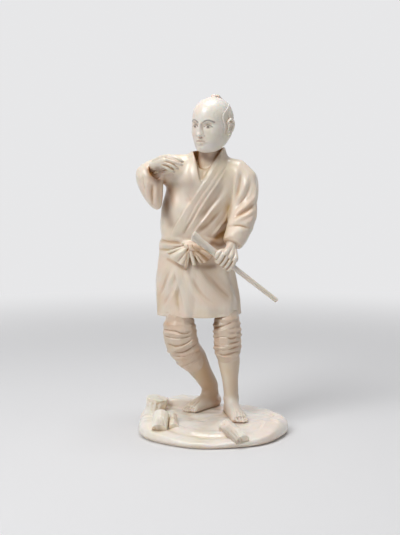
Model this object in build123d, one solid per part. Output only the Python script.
from build123d import *
import math
import os

# A standing woodcutter carved in jointed sections on an oval ground, in millimetres.
# The front faces -Y, +Z is up, and the origin is the middle of the flat underside.
# The sections are knife-cut forms: rings of corners along a line, joined by flat facets.

# Ground
ground_half_width = 50.0
ground_half_depth = 43.0
ground_height = 9.8
ground_ring_shares = ((0.0, 0.95), (0.25, 1.0), (0.7, 0.985), (0.95, 0.93), (1.0, 0.88))
ground_wave_share = 0.012
ground_waves = 7
rock_height = 11.8
rock_place_shares = (-0.24, 0.36)
rock_half_shares = (0.54, 0.5)
ridge_height = 17.0
ridge_place_shares = (-0.42, 0.6)
ridge_half_shares = (0.36, 0.22)
rock_ring_shares = ((0.0, 1.0), (0.8, 0.93), (1.0, 0.82))
front_slope_start_share = -0.28
front_lip_height = 3.8
ground_sides = 40
rock_sides = 20

# Robe, as one tapering tower from the hem to the base of the neck: rise, half width,
# half depth, side and back, all as shares of the robe's own sizes
hem_z = 78.0
robe_height = 106.0
robe_half_width = 28.0
robe_half_depth = 19.0
robe_x = -9.3
robe_y = 6.0
skirt_shares = (
    (0.0, 1.0, 1.0, 0.0, 0.0),
    (0.1, 0.985, 0.99, -0.02, 0.0),
    (0.21, 0.95, 0.95, -0.065, 0.0),
    (0.3, 0.9, 0.9, -0.085, 0.0),
    (0.373, 0.85, 0.86, -0.11, 0.0),
)
torso_shares = (
    (0.373, 0.84, 0.85, -0.11, 0.0),
    (0.42, 0.815, 0.82, -0.108, 0.0),
    (0.478, 0.772, 0.77, -0.105, 0.0),
    (0.53, 0.815, 0.82, -0.1, 0.02),
    (0.6, 0.84, 0.85, -0.08, 0.03),
    (0.68, 0.85, 0.86, -0.03, 0.04),
    (0.755, 0.86, 0.84, 0.07, 0.05),
    (0.83, 0.87, 0.78, 0.14, 0.06),
    (0.9, 0.8, 0.68, 0.19, 0.09),
    (0.95, 0.62, 0.56, 0.22, 0.1),
    (0.985, 0.43, 0.48, 0.23, 0.1),
    (1.0, 0.34, 0.42, 0.22, 0.08),
)
robe_sides = 36
skirt_fold_share = 0.035
skirt_folds = 9
torso_fold_share = 0.012
hem_wall = 3.2
hem_recess = 9.0
skin_inset = 1.4
band_rise = 1.1
sash_rise = 0.9
sash_shares = (
    (0.424, 0.812, 0.816, -0.108, 0.0),
    (0.45, 0.806, 0.81, -0.106, 0.0),
    (0.474, 0.776, 0.776, -0.105, 0.0),
)
opening_shares = ((-0.16, 1.06), (0.6, 1.06), (0.07, 0.826))
lapel_shares = ((0.52, 1.03), (0.82, 0.99), (-0.28, 0.545), (-0.62, 0.5), (-0.585, 0.53), (0.07, 0.826))
under_lapel_shares = ((-0.34, 1.04), (-0.14, 1.04), (0.09, 0.82), (-0.1, 0.75))
front_edge_shares = ((-0.24, 0.375), (-0.06, 0.375), (-0.2, -0.02), (-0.4, -0.02))
collar_shares = ((0.9, 0.52, 0.6, 0.0), (1.0, 0.44, 0.56, -0.05), (1.035, 0.4, 0.52, -0.11))
collar_place_shares = (0.225, 0.02)
collar_wall = 1.6
neck_shares = (
    (0.85, 0.3, 0.42, 0.24, -0.04),
    (1.0, 0.245, 0.36, 0.245, -0.06),
    (1.08, 0.235, 0.34, 0.25, -0.1),
)

# Squared pegs and their sockets
peg_width = 2.4
peg_clearance = 0.05
small_peg_width = 1.6
peg_half_length = 5.0
small_peg_half_length = 3.5

# Head: rise, half width, half depth and forward set, as shares of its own sizes
head_seat_shares = (0.315, -0.22, 1.012)
head_height = 34.2
head_half_width = 12.9
head_half_depth = 15.0
head_turn = 32.0
head_nod = 6.0
head_sides = 24
head_shares = (
    (0.0, 0.42, 0.42, 0.44),
    (0.05, 0.6, 0.6, 0.3),
    (0.15, 0.8, 0.8, 0.14),
    (0.3, 0.93, 0.92, 0.04),
    (0.48, 0.99, 0.98, 0.0),
    (0.64, 1.0, 1.0, -0.03),
    (0.78, 0.94, 0.94, -0.05),
    (0.89, 0.78, 0.79, -0.06),
    (0.96, 0.54, 0.56, -0.06),
    (1.0, 0.24, 0.26, -0.06),
)
hair_rise = 0.5
hair_low_share = 0.26
hair_high_share = 0.74
topknot_radius = 2.0
topknot_shares = ((-0.75, 0.93, 1.0, 0.7), (-0.4, 1.02, 1.0, 0.7), (-0.1, 1.03, 0.7, 0.5))
ear_thickness = 2.2
ear_depth = 4.4
ear_shares = (
    (0.9, 0.06, 0.34, 0.4, 0.25),
    (1.0, 0.0, 0.42, 0.5, 0.45),
    (1.05, -0.03, 0.53, 0.55, 0.55),
    (0.98, 0.0, 0.59, 0.4, 0.35),
)
nose_width = 4.6
nose_shares = (
    (0.96, 0.56, 0.22, 0.3),
    (0.99, 0.45, 0.32, 0.45),
    (1.0, 0.36, 0.5, 0.55),
    (0.9, 0.32, 0.4, 0.3),
)
small_sides = 8

# Sleeves: places along the arm as side, back and rise shares of the robe, then half sizes
right_arm_shares = (
    (-0.1, 0.1, 0.895, 0.4, 0.4),
    (-0.62, -0.08, 0.9, 0.37, 0.48),
    (-0.92, -0.16, 0.896, 0.32, 0.48),
    (-1.13, -0.24, 0.872, 0.25, 0.44),
    (-1.27, -0.32, 0.858, 0.16, 0.36),
)
pouch_shares = (
    (0.655, -0.94, -0.58, 0.06, 0.16),
    (0.69, -0.99, -0.6, 0.16, 0.34),
    (0.745, -1.05, -0.62, 0.24, 0.47),
    (0.8, -1.1, -0.62, 0.29, 0.56),
    (0.86, -1.13, -0.6, 0.315, 0.62),
    (0.905, -1.11, -0.52, 0.32, 0.6),
    (0.94, -1.02, -0.44, 0.26, 0.5),
    (0.97, -0.9, -0.36, 0.14, 0.28),
)
cuff_bore_share = 0.19
cuff_bore_depth = 12.0
left_arm_shares = (
    (0.4, 0.08, 0.885, 0.36, 0.34),
    (0.64, -0.05, 0.885, 0.42, 0.36),
    (0.89, -0.1, 0.88, 0.47, 0.345),
    (1.05, -0.13, 0.838, 0.5, 0.345),
    (1.1, -0.2, 0.77, 0.5, 0.335),
    (1.07, -0.28, 0.69, 0.46, 0.305),
    (1.03, -0.42, 0.62, 0.48, 0.32),
    (0.96, -0.6, 0.56, 0.48, 0.32),
    (0.87, -0.8, 0.505, 0.42, 0.28),
    (0.77, -0.98, 0.455, 0.36, 0.245),
)
right_shoulder_shares = (-0.6, -0.1, 0.9)
left_shoulder_shares = (1.0, -0.1, 0.86)
sleeve_sides = 18
pouch_folds = 6
pouch_fold_share = 0.04

# Hatchet: a tapered haft that passes through the left fist, and the head above it
tail_place = (41.0, -14.0, 89.9)
head_end_place = (-13.2, -27.0, 133.0)
haft_tail_radius = 1.55
haft_radius = 1.8
haft_clearance = 0.12
haft_share = 0.71
haft_tang_length = 5.0
haft_tang_radius = 1.1
blade_half_width = 2.3
blade_half_thickness = 2.0
blade_flare_share = 1.5
blade_cut_angle = 28.0
blade_socket_share = 0.6
blade_sides = 12
haft_sides = 24

# Hands
fist_share = 0.615
fist_radius = 5.3
fist_length = 12.4
fist_crease_share = 0.91
finger_radius = 1.55
thumb_radius = 1.75
hand_sides = 10
fist_sides = 14
fist_steps = 8
thumb_lift_share = 0.7
thumb_bulge_share = 0.25
back_of_hand_shares = ((0, 1.0, 0.85), (0.45, 1.15, 0.9), (0.85, 1.3, 0.9))
right_wrist_shares = (-1.0, -0.8, 0.885)
right_palm_shares = (-0.8, -1.28, 0.915)
right_knuckle_shares = (-0.66, -1.42, 0.925)
palm_half_height = 4.2
palm_half_thickness = 2.6
finger_fan_shares = (-0.75, -0.25, 0.25, 0.75)
finger_end_shares = (-0.4, -1.62, 0.905)
thumb_end_shares = (-0.5, -1.62, 0.885)

# Bow of the sash: ends as side and rise shares, then width and thickness
knot_shares = (-0.14, 0.435)
knot_half_width = 3.1
knot_half_depth = 3.2
bow_half_thickness = 1.3
bow_stand = 1.6
bow_sides = 16
bow_pleats = 5
bow_pleat_share = 0.06
bow_run_shares = ((0, 0.35, 1.0), (0.5, 0.7, 1.1), (1.0, 1.0, 1.2))
knot_shares_of_height = ((1.0, 0.8), (0, 1.0), (-1.0, 0.8))
bow_loop_shares = (
    (-0.53, 0.368, 7.0),
    (-0.22, 0.325, 2.6),
    (0.2, 0.365, 5.4),
)

# Legs: ankle places on the ground, foot turns and sizes
right_ankle_place = (-1.0, 20.5)
right_foot_turn = -43.0
left_ankle_place = (12.6, 7.0)
left_foot_turn = 14.0
foot_length = 31.0
foot_half_width = 5.6
foot_height = 9.5
heel_share = 0.26
ankle_radius = 6.2
ankle_height = 14.0
calf_radius = 9.3
foot_shares = (
    (1.0, 0, 0, 0.5, 0.42, 0.3),
    (0.6, 0, 0, 0.74, 0.62, 0.42),
    (0, 0, 0, 0.8, 0.9, 0.5),
    (0, -0.5, 0, 0.86, 0.62, 0.38),
    (0, -1.0, 0, 1.0, 0.4, 0.24),
    (0, -1.0, -0.3, 0.88, 0.3, 0.2),
)
toe_radius = 1.25
toe_length = 4.4
toes = 5
toe_spread_share = 0.72
toe_shrink_share = 0.14
big_toe_share = 1.35
shin_shares = ((0, 0.95, 0.95), (0, 1.0, 1.0), (0.33, 1.1, 1.14), (0.7, 1.0, 1.0), (1.0, 0.9, 0.9))
right_knee_place = (-19.8, -4.0, 62.0)
left_knee_place = (9.8, -2.0, 62.0)
right_hip_shares = (-0.505, -0.05)
left_hip_shares = (0.645, -0.05)
shin_top_share = 0.9
breeches_low_share = 0.66
breeches_radius = 11.3
breeches_hip_radius = 10.8
left_leg_share = 0.83
breeches_roll_share = 0.07
breeches_rolls = 5
leg_sides = 16

# Wood lying about the ground: foot and top places, then radii
stump_foot_shares = (-0.785, 0.27)
stump_top_shares = (-0.742, 0.255)
stump_foot_height = 5.5
stump_top_height = 20.4
stump_radius = 8.2
stump_waist_share = 0.84
stump_spread_share = 1.22
leaning_log_foot_shares = (-0.69, -0.558)
leaning_log_top_shares = (-0.67, -0.302)
leaning_log_foot_height = 7.6
leaning_log_top_height = 15.0
leaning_log_radius = 5.2
short_log_foot_shares = (-0.504, -0.5)
short_log_top_shares = (-0.53, -0.186)
short_log_foot_height = 8.4
short_log_top_height = 12.2
short_log_radius = 3.2
fallen_log_foot_shares = (0.356, -0.902)
fallen_log_top_shares = (0.172, -0.523)
fallen_log_foot_height = 4.8
fallen_log_top_height = 9.6
fallen_log_radius = 4.4
wood_peg_shares = (0.25, 0.15, 0.4, 0.5)
wood_sides = 12
overrun = 40.0


def ring(place, half_side, half_depth, across, along, sides, folds=0, fold_share=0.0):
    """Corners of one oval, square to the line that the form follows."""
    frame = Plane(origin=place, x_dir=across, z_dir=along)
    corners = []
    for step in range(sides):
        turn = 2 * math.pi * step / sides
        swell = 1 + fold_share * math.cos(folds * turn)
        side = half_side * swell * math.cos(turn)
        depth = half_depth * swell * math.sin(turn)
        corners.append(frame.from_local_coords(Vector(side, depth, 0)))
    return corners


def carved(rings):
    """A closed solid with flat facets between rings of as many corners."""
    facets = [Face(Wire.make_polygon(end, close=True)) for end in (rings[0], rings[-1])]
    for low, high in zip(rings, rings[1:]):
        for step in range(len(low)):
            after = (step + 1) % len(low)
            facets.append(Face(Wire.make_polygon([low[step], low[after], high[after]], close=True)))
            facets.append(Face(Wire.make_polygon([low[step], high[after], high[step]], close=True)))
    return Solid(Shell(facets))


def limb(stations, across, sides, folds=0, fold_share=0.0):
    """A rounded form along a bent line of (place, half side, half depth)."""
    places = [Vector(*station[0]) for station in stations]
    rings = []
    for step, (place, half_side, half_depth) in enumerate(stations):
        before = places[max(step - 1, 0)]
        after = places[min(step + 1, len(places) - 1)]
        rings.append(ring(places[step], half_side, half_depth, across, after - before, sides,
                          folds, fold_share))
    return carved(rings)


def level_form(x, y, z, half_width, half_depth, height, shares, sides, folds=0, fold_share=0.0):
    """A stack of level ovals that keeps one middle."""
    return carved([
        ring((x, y, z + height * rise), half_width * wide, half_depth * wide,
             (1, 0, 0), (0, 0, 1), sides, folds, fold_share)
        for rise, wide in shares
    ])


def blend(start, end, share):
    """The point at a share of the way from one place to another."""
    return Vector(*start) + (Vector(*end) - Vector(*start)) * share


def on_robe(side, back, rise):
    """A place given in shares of the robe's sizes."""
    return Vector(
        robe_x + side * robe_half_width,
        robe_y + back * robe_half_depth,
        hem_z + rise * robe_height,
    )


def on_ground(side, back, rise):
    """A place given in shares of the ground's sizes, at a height."""
    return Vector(side * ground_half_width, back * ground_half_depth, rise)


def robe_front(side, rise):
    """The place on the robe's front face at a side and a rise."""
    table = skirt_shares + torso_shares
    for low, high in zip(table, table[1:]):
        if low[0] <= rise <= high[0] and high[0] > low[0]:
            part = (rise - low[0]) / (high[0] - low[0])
            wide, deep, middle, back = (a + (b - a) * part for a, b in zip(low[1:], high[1:]))
            off = min(abs(side - middle) / wide, 0.98)
            return on_robe(side, back - deep * math.sqrt(1 - off * off), rise)
    raise ValueError("the rise is outside the robe")


def robe_tower(shares, extra=0.0, folds=0, fold_share=0.0):
    """A stretch of the robe's outer form, grown or shrunk all round."""
    return carved([
        ring(on_robe(side, back, rise), wide * robe_half_width + extra, deep * robe_half_depth + extra,
             (1, 0, 0), (0, 0, 1), robe_sides, folds, fold_share)
        for rise, wide, deep, side, back in shares
    ])


def front_prism(shares):
    """A band outline drawn on the front of the robe and run back to its middle."""
    corners = [
        (robe_x + side * robe_half_width, robe_y, hem_z + rise * robe_height)
        for side, rise in shares
    ]
    return extrude(make_face(Polyline(*corners, close=True)), amount=overrun, dir=(0, -1, 0))


def peg(middle, along, width, half_length, clearance=0.0):
    """A squared peg about a seam, or its socket when given a clearance."""
    line = Vector(*along).normalized()
    across = (1, 0, 0) if abs(line.X) < 0.9 else (0, 1, 0)
    reach = half_length + clearance
    frame = Plane(origin=Vector(*middle) - line * reach, x_dir=across, z_dir=line)
    side = width + 2 * clearance
    return extrude(frame * Rectangle(side, side), amount=2 * reach)


def main_piece(shape):
    """The largest solid of a cut form, without the slips that a cut leaves behind."""
    return max(shape.solids(), key=lambda solid: solid.volume)


def ground():
    """Oval ground with a raised rock behind and a ridge at its left rear."""
    slab = level_form(0, 0, 0, ground_half_width, ground_half_depth, ground_height,
                      ground_ring_shares, ground_sides, ground_waves, ground_wave_share)
    rock = level_form(
        rock_place_shares[0] * ground_half_width, rock_place_shares[1] * ground_half_depth, 0,
        rock_half_shares[0] * ground_half_width, rock_half_shares[1] * ground_half_depth,
        rock_height, rock_ring_shares, rock_sides,
    )
    ridge = level_form(
        ridge_place_shares[0] * ground_half_width, ridge_place_shares[1] * ground_half_depth, 0,
        ridge_half_shares[0] * ground_half_width, ridge_half_shares[1] * ground_half_depth,
        ridge_height, rock_ring_shares, rock_sides,
    )
    rim = level_form(0, 0, 0, ground_half_width, ground_half_depth, ridge_height,
                     ((0.0, ground_ring_shares[0][1]), (1.0, ground_ring_shares[-1][1])),
                     ground_sides, ground_waves, ground_wave_share)
    body = slab + ((rock + ridge) & rim)
    start = front_slope_start_share * ground_half_depth
    slope = Polyline(
        (start, ground_height), (-ground_half_depth, front_lip_height),
        (-ground_half_depth * 1.2, front_lip_height), (-ground_half_depth * 1.2, ridge_height),
        (start, ridge_height), close=True,
    )
    cutter = extrude(Plane.YZ * make_face(slope), amount=ground_half_width * 2, both=True)
    return body - cutter


def foot_frame(ankle_place, turn, sole_z):
    """Frame on the sole under the ankle, with its X towards the outer side and -Y to the toes."""
    return Plane(origin=(ankle_place[0], ankle_place[1], sole_z), z_dir=(0, 0, 1)).rotated((0, 0, turn))


def foot(frame):
    """A bare foot with a flat sole and five toes."""
    heel = heel_share * foot_length
    ball = foot_length - heel - toe_length
    stations = []
    for back, middle, front, wide, deep, lift in foot_shares:
        place = Vector(0, heel * back + ball * middle + toe_length * front, foot_height * lift)
        stations.append((frame.from_local_coords(place), foot_half_width * wide, foot_height * deep))
    body = limb(stations, frame.x_dir, leg_sides)
    for step in range(toes):
        side = foot_half_width * toe_spread_share * (2 * step / (toes - 1) - 1)
        reach = toe_length * (1 - toe_shrink_share * abs(step - 1))
        size = toe_radius * (big_toe_share if step == 0 else 1)
        root = frame.from_local_coords(Vector(side, -ball, size))
        tip = frame.from_local_coords(Vector(side, -ball - reach, size))
        body += limb([(root, size, size), (blend(root, tip, 0.7), size, size), (tip, size * 0.6, size * 0.6)],
                     frame.x_dir, small_sides)
    return body - sole_block(frame)


def sole_block(frame):
    """Everything just under a sole."""
    block = frame * Rectangle(foot_length * 2, foot_length * 2)
    return extrude(block, amount=-foot_height)


def shin(frame, knee, share):
    """The bare leg from the ankle up into the breeches."""
    ankle = frame.from_local_coords(Vector(0, 0, foot_height * 0.5))
    above = frame.from_local_coords(Vector(0, 0, ankle_height))
    top = blend(above, knee, shin_top_share)
    sizes = [ankle_radius * share] * 3 + [calf_radius * share] * 2
    stations = [(ankle, sizes[0] * shin_shares[0][1], sizes[0] * shin_shares[0][2])]
    for (rise, wide, deep), size in zip(shin_shares[1:], sizes[1:]):
        stations.append((blend(above, top, rise), size * wide, size * deep))
    return limb(stations, (1, 0, 0), leg_sides)


def breeches(frame, knee, hip, share):
    """Breeches gathered in rolls about the knee, up to the underside of the skirt."""
    above = frame.from_local_coords(Vector(0, 0, ankle_height))
    low = blend(above, knee, breeches_low_share)
    shin_line = (knee - above).normalized()
    top = hip + Vector(0, 0, hem_recess * 1.5)
    thigh_line = (top - knee).normalized()
    rings = []
    steps = 2 * breeches_rolls
    for step in range(steps + 1):
        rise = step / steps
        swell = 1 + breeches_roll_share * (1 if step % 2 else -1)
        place = blend(low, knee, rise * 2) if rise < 0.5 else blend(knee, hip, rise * 2 - 1)
        radius = breeches_radius * share * (0.88 + 0.12 * min(rise * 3, 1)) * swell
        rings.append(ring(place, radius, radius, (1, 0, 0), blend(shin_line, thigh_line, rise), leg_sides))
    radius = breeches_hip_radius * share
    rings.append(ring(top, radius, radius, (1, 0, 0), thigh_line, leg_sides))
    return carved(rings)


def tucked_in(form, room):
    """What of a form lies under the hem or inside the room that the skirt leaves for it."""
    above_hem = Pos(robe_x, robe_y, hem_z + overrun / 2) * Box(overrun * 3, overrun * 3, overrun)
    return (form - above_hem) + (form & room)


def wood(foot_place, top_place, radius, waist_share=1, spread_share=1):
    """A length of cut wood, many-sided under the knife."""
    top_radius = radius * (1 + waist_share) / 2
    return limb(
        [
            (foot_place, radius * spread_share, radius * spread_share),
            (blend(foot_place, top_place, 0.5), radius * waist_share, radius * waist_share),
            (top_place, top_radius, top_radius),
        ],
        (1, 0, 0), wood_sides,
    )


os.makedirs("parts", exist_ok=True)

# Tool line, from the tail of the haft to the flared end of the head
tail = Vector(*tail_place)
head_end = Vector(*head_end_place)
tool_line = (head_end - tail).normalized()
tool_length = (head_end - tail).length
tool_across = Vector(0, 0, 1).cross(tool_line).normalized()
fist_centre = blend(tail, head_end, fist_share)
fist_low = fist_centre - tool_line * (fist_length / 2)
fist_high = fist_centre + tool_line * (fist_length / 2)
haft_end = blend(tail, head_end, haft_share)

haft = limb([(tail, haft_tail_radius, haft_tail_radius), (haft_end, haft_radius, haft_radius)],
            tool_across, haft_sides)
tang_end = haft_end + tool_line * haft_tang_length
haft += limb([(haft_end - tool_line * haft_tang_length, haft_tang_radius, haft_tang_radius),
              (tang_end, haft_tang_radius, haft_tang_radius)], tool_across, haft_sides)
head_stations = (
    (haft_end, blade_half_thickness, blade_half_width),
    (blend(haft_end, head_end, blade_socket_share), blade_half_thickness, blade_half_width),
    (head_end, blade_half_thickness, blade_half_width * blade_flare_share),
)
hatchet_head = limb(head_stations, tool_across, blade_sides)
tang_bore = haft_tang_radius + peg_clearance
hatchet_head -= limb([(haft_end - tool_line * haft_tang_length, tang_bore, tang_bore),
                      (tang_end + tool_line * peg_clearance, tang_bore, tang_bore)], tool_across, haft_sides)
cut_line = tool_line.rotate(Axis((0, 0, 0), tool_across), blade_cut_angle)
cut_plane = Plane(origin=head_end, x_dir=tool_across, z_dir=cut_line)
hatchet_head -= extrude(cut_plane * Rectangle(overrun, overrun), amount=overrun)

# Torso and skirt
skirt = robe_tower(skirt_shares, 0, skirt_folds, skirt_fold_share)
skirt += robe_tower(skirt_shares, band_rise, skirt_folds, skirt_fold_share) & front_prism(front_edge_shares)
recess = Pos(robe_x, robe_y, hem_z) * Box(overrun * 3, overrun * 3, hem_recess * 2)
recess &= robe_tower(skirt_shares, -hem_wall, skirt_folds, skirt_fold_share)
skirt -= recess

torso = robe_tower(torso_shares, 0, skirt_folds, torso_fold_share)
neck = carved([
    ring(on_robe(side, back, rise), wide * robe_half_width, deep * robe_half_depth,
         (1, 0, 0), (0, 0, 1), robe_sides)
    for rise, wide, deep, side, back in neck_shares
])
collar = [
    carved([
        ring(on_robe(*collar_place_shares, rise), wide * robe_half_width - inset,
             deep * robe_half_depth - inset, (1, 0, 0), (lean, 0, 1), robe_sides)
        for rise, wide, deep, lean in collar_shares
    ])
    for inset in (0, collar_wall)
]
torso += collar[0]
torso -= front_prism(opening_shares)
torso += robe_tower(torso_shares, -skin_inset, skirt_folds, torso_fold_share)
torso -= collar[1]
torso += neck
grown = robe_tower(torso_shares, band_rise, skirt_folds, torso_fold_share)
torso += grown & front_prism(lapel_shares)
torso += grown & front_prism(under_lapel_shares)
torso += robe_tower(sash_shares, sash_rise)

# Legs
ground_solid = ground()
right_frame = foot_frame(right_ankle_place, right_foot_turn, rock_height)
left_frame = foot_frame(left_ankle_place, left_foot_turn, ground_height)
right_hip = on_robe(*right_hip_shares, 0)
left_hip = on_robe(*left_hip_shares, 0)
right_knee = Vector(*right_knee_place)
left_knee = Vector(*left_knee_place)
right_leg = foot(right_frame) + shin(right_frame, right_knee, 1)
left_leg = foot(left_frame) + shin(left_frame, left_knee, left_leg_share)
right_breeches = tucked_in(breeches(right_frame, right_knee, right_hip, 1), recess) - right_leg
left_breeches = tucked_in(breeches(left_frame, left_knee, left_hip, left_leg_share), recess) - left_leg
ground_solid -= left_leg
ground_solid -= right_leg

# Wood
stump_foot = on_ground(*stump_foot_shares, stump_foot_height)
stump_top = on_ground(*stump_top_shares, stump_top_height)
leaning_log_foot = on_ground(*leaning_log_foot_shares, leaning_log_foot_height)
leaning_log_top = on_ground(*leaning_log_top_shares, leaning_log_top_height)
short_log_foot = on_ground(*short_log_foot_shares, short_log_foot_height)
short_log_top = on_ground(*short_log_top_shares, short_log_top_height)
fallen_log_foot = on_ground(*fallen_log_foot_shares, fallen_log_foot_height)
fallen_log_top = on_ground(*fallen_log_top_shares, fallen_log_top_height)
tree_stump = wood(stump_foot, stump_top, stump_radius, stump_waist_share, stump_spread_share) - ground_solid
leaning_log = wood(leaning_log_foot, leaning_log_top, leaning_log_radius) - ground_solid
short_log = wood(short_log_foot, short_log_top, short_log_radius) - ground_solid - leaning_log
fallen_log = wood(fallen_log_foot, fallen_log_top, fallen_log_radius) - ground_solid

# Arms
pouch = carved([
    ring(on_robe(side, back, rise), wide * robe_half_width, deep * robe_half_depth,
         (1, 0, 0), (0, 0, 1), sleeve_sides, pouch_folds, pouch_fold_share)
    for rise, side, back, wide, deep in pouch_shares
])
right_arm = limb(
    [(on_robe(side, back, rise), tall * robe_half_width, deep * robe_half_depth)
     for side, back, rise, tall, deep in right_arm_shares],
    (0, 0, 1), sleeve_sides,
)
right_sleeve = right_arm + pouch - torso
right_wrist = on_robe(*right_wrist_shares)
right_palm = on_robe(*right_palm_shares)
right_knuckle = on_robe(*right_knuckle_shares)
right_sleeve -= limb(
    [(right_wrist, cuff_bore_share * robe_half_width, cuff_bore_share * robe_half_width),
     (right_wrist + (right_palm - right_wrist).normalized() * cuff_bore_depth,
      cuff_bore_share * robe_half_width, cuff_bore_share * robe_half_width)],
    (0, 0, 1), sleeve_sides,
)
left_sleeve = limb(
    [(on_robe(side, back, rise), deep * robe_half_depth, thick * robe_half_width)
     for side, back, rise, deep, thick in left_arm_shares],
    (0, 1, 0), sleeve_sides,
) - torso - skirt

# Hands
right_hand = limb(
    [(right_wrist, palm_half_height * 0.8, palm_half_thickness),
     (right_palm, palm_half_height, palm_half_thickness),
     (right_knuckle, palm_half_height, palm_half_thickness * 0.9)],
    (0, 0, 1), hand_sides,
)
finger_end = on_robe(*finger_end_shares)
thumb_end = on_robe(*thumb_end_shares)
for fan in finger_fan_shares:
    root = right_knuckle + Vector(0, 0, fan * palm_half_height) - (right_knuckle - right_palm) * 0.2
    tip = finger_end + Vector(0, 0, fan * palm_half_height * 0.45)
    bend = blend(root, tip, 0.5) + Vector(0, -finger_radius * 0.5, finger_radius * 0.6)
    right_hand += limb([(root, finger_radius, finger_radius), (bend, finger_radius, finger_radius),
                        (tip, finger_radius * 0.75, finger_radius * 0.75)], (0, 0, 1), small_sides)
right_hand += limb([(right_palm - Vector(0, 0, palm_half_height * 0.6), thumb_radius, thumb_radius),
                    (thumb_end, thumb_radius * 0.8, thumb_radius * 0.8)], (0, 0, 1), small_sides)

fist_rings = []
for step in range(fist_steps + 1):
    size = fist_radius * (1 if step % 2 else fist_crease_share)
    fist_rings.append((blend(fist_low, fist_high, step / fist_steps), size, size))
tool_up = tool_line.cross(tool_across).normalized()
left_wrist = on_robe(*left_arm_shares[-1][:3])
left_hand = limb(fist_rings, tool_across, fist_sides)
left_hand += limb(
    [(blend(left_wrist, fist_centre, part), palm_half_height * wide, palm_half_height * deep)
     for part, wide, deep in back_of_hand_shares],
    tool_line, hand_sides,
)
thumb_root = fist_high + tool_up * fist_radius * thumb_lift_share - tool_line * thumb_radius
thumb_tip = fist_high + tool_across * fist_radius - tool_line * thumb_radius
thumb_bend = blend(thumb_root, thumb_tip, 0.5) + (tool_up + tool_across) * fist_radius * thumb_bulge_share
left_hand += limb([(thumb_root, thumb_radius, thumb_radius), (thumb_bend, thumb_radius, thumb_radius),
                   (thumb_tip, thumb_radius * 0.8, thumb_radius * 0.8)], tool_line, small_sides)
bore_radius = haft_radius + haft_clearance
blade_room = blade_half_width + haft_clearance * 2
bore_low = fist_low - tool_line * fist_length
bore_high = haft_end + tool_line * haft_clearance
room_low = haft_end - tool_line * haft_clearance
left_hand -= limb([(bore_low, bore_radius, bore_radius), (bore_high, bore_radius, bore_radius)],
                  tool_across, haft_sides)
left_hand -= limb([(room_low, blade_room, blade_room), (head_end, blade_room, blade_room)],
                  tool_across, haft_sides)
left_hand -= left_sleeve

# Head
head_frame = Plane(origin=on_robe(*head_seat_shares), x_dir=(1, 0, 0), z_dir=(0, 0, 1))
head_frame = head_frame.rotated((head_nod, 0, -head_turn))


def on_head(side, forward, rise):
    """A place given in shares of the head's sizes, with forward towards the face."""
    return head_frame.from_local_coords(
        Vector(side * head_half_width, -forward * head_half_depth, rise * head_height))


def head_form(extra=0.0):
    """The skull and jaw, grown or shrunk all round."""
    return carved([
        ring(on_head(0, forward, rise), wide * head_half_width + extra, deep * head_half_depth + extra,
             head_frame.x_dir, head_frame.z_dir, head_sides)
        for rise, wide, deep, forward in head_shares
    ])


head = head_form()
head += limb(
    [(on_head(0, forward, rise), nose_width * wide, nose_width * deep)
     for forward, rise, wide, deep in nose_shares],
    head_frame.x_dir, small_sides,
)
for side in (-1, 1):
    head += limb(
        [(on_head(side * out, forward, rise), ear_thickness * wide, ear_depth * deep)
         for out, forward, rise, wide, deep in ear_shares],
        head_frame.x_dir, small_sides,
    )
hair_box = head_frame * Pos(0, head_half_depth, head_height * 0.5) * Box(
    head_half_width * 4, head_half_depth * 2, head_height * (hair_high_share - hair_low_share))
head += head_form(hair_rise) & hair_box
head += limb(
    [(on_head(0, forward, rise), topknot_radius * wide, topknot_radius * deep)
     for forward, rise, wide, deep in topknot_shares],
    head_frame.x_dir, small_sides,
)
head -= torso

# Bow of the sash
knot = robe_front(*knot_shares)
knot += Vector(0, -bow_stand, 0)
sash_bow = limb(
    [(knot + Vector(0, 0, knot_half_width * rise), knot_half_width * size, knot_half_depth * size)
     for rise, size in knot_shares_of_height],
    (1, 0, 0), bow_sides,
)
for side, rise, half_width in bow_loop_shares:
    end = robe_front(side, rise) + Vector(0, -bow_stand, 0)
    line = (end - knot).normalized()
    across = line.cross(Vector(0, -1, 0)).normalized()
    sash_bow += limb(
        [(blend(knot, end, part), half_width * wide, bow_half_thickness * deep)
         for part, wide, deep in bow_run_shares],
        across, bow_sides, bow_pleats, bow_pleat_share,
    )
sash_bow = sash_bow - torso - skirt - left_hand

pieces = {
    "base": ground_solid, "tree_stump": tree_stump, "leaning_log": leaning_log, "short_log": short_log,
    "fallen_log": fallen_log, "right_leg": right_leg, "left_leg": left_leg,
    "right_breeches": right_breeches, "left_breeches": left_breeches, "skirt": skirt, "torso": torso,
    "right_sleeve": right_sleeve, "left_sleeve": left_sleeve, "right_hand": right_hand,
    "left_hand": left_hand, "head": head, "sash_bow": sash_bow, "hatchet_haft": haft,
    "hatchet_head": hatchet_head,
}

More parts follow.
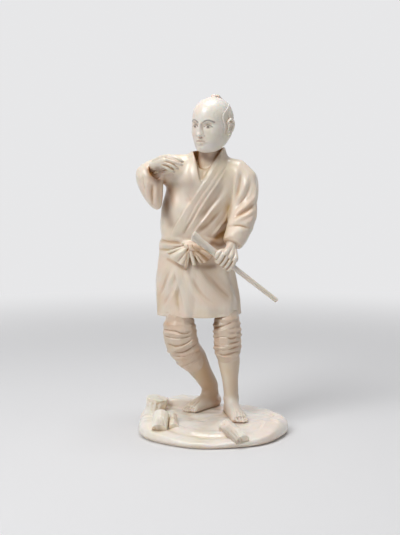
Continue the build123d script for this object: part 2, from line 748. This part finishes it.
# Pegs: group name, the two pieces that one joins, its middle, its line and its width
up = (0, 0, 1)
waist = on_robe(torso_shares[0][3], 0, torso_shares[0][0])
neck_top = on_robe(neck_shares[-1][3], neck_shares[-1][4], neck_shares[-1][0])
hip_lift = Vector(0, 0, hem_recess)
pegs = (
    ("foot_pegs", "base", "right_leg", right_frame.origin, up, peg_width),
    ("foot_pegs", "base", "left_leg", left_frame.origin, up, peg_width),
    ("hip_pegs", "right_breeches", "skirt", right_hip + hip_lift, up, peg_width),
    ("hip_pegs", "left_breeches", "skirt", left_hip + hip_lift, up, peg_width),
    ("waist_peg", "skirt", "torso", waist, up, peg_width * 2),
    ("shoulder_pegs", "torso", "right_sleeve", on_robe(*right_shoulder_shares), (1, 0, 0), peg_width),
    ("shoulder_pegs", "torso", "left_sleeve", on_robe(*left_shoulder_shares), (1, 0, 0), peg_width),
    ("neck_peg", "torso", "head", neck_top, up, peg_width),
    ("wrist_pegs", "right_sleeve", "right_hand", right_wrist, right_palm - right_wrist, small_peg_width),
    ("wrist_pegs", "left_sleeve", "left_hand", left_wrist, fist_centre - left_wrist, small_peg_width),
    ("bow_peg", "torso", "sash_bow", robe_front(*knot_shares), (0, 1, 0), small_peg_width),
    *(
        ("wood_pegs", "base", name, blend(low, high, share), up, small_peg_width)
        for name, low, high, share in (
            ("tree_stump", stump_foot, stump_top, wood_peg_shares[0]),
            ("leaning_log", leaning_log_foot, leaning_log_top, wood_peg_shares[1]),
            ("short_log", short_log_foot, short_log_top, wood_peg_shares[2]),
            ("fallen_log", fallen_log_foot, fallen_log_top, wood_peg_shares[3]),
        )
    ),
)
peg_groups = {}
for group, lower, upper, middle, line, width in pegs:
    half_length = peg_half_length if width > small_peg_width else small_peg_half_length
    socket = peg(middle, line, width, half_length, peg_clearance)
    pieces[lower] -= socket
    pieces[upper] -= socket
    peg_groups.setdefault(group, []).append(peg(middle, line, width, half_length))

for name, shape in pieces.items():
    export_step(main_piece(shape), f"parts/{name}.step")
for name, shapes in peg_groups.items():
    export_step(Compound(children=shapes), f"parts/{name}.step")
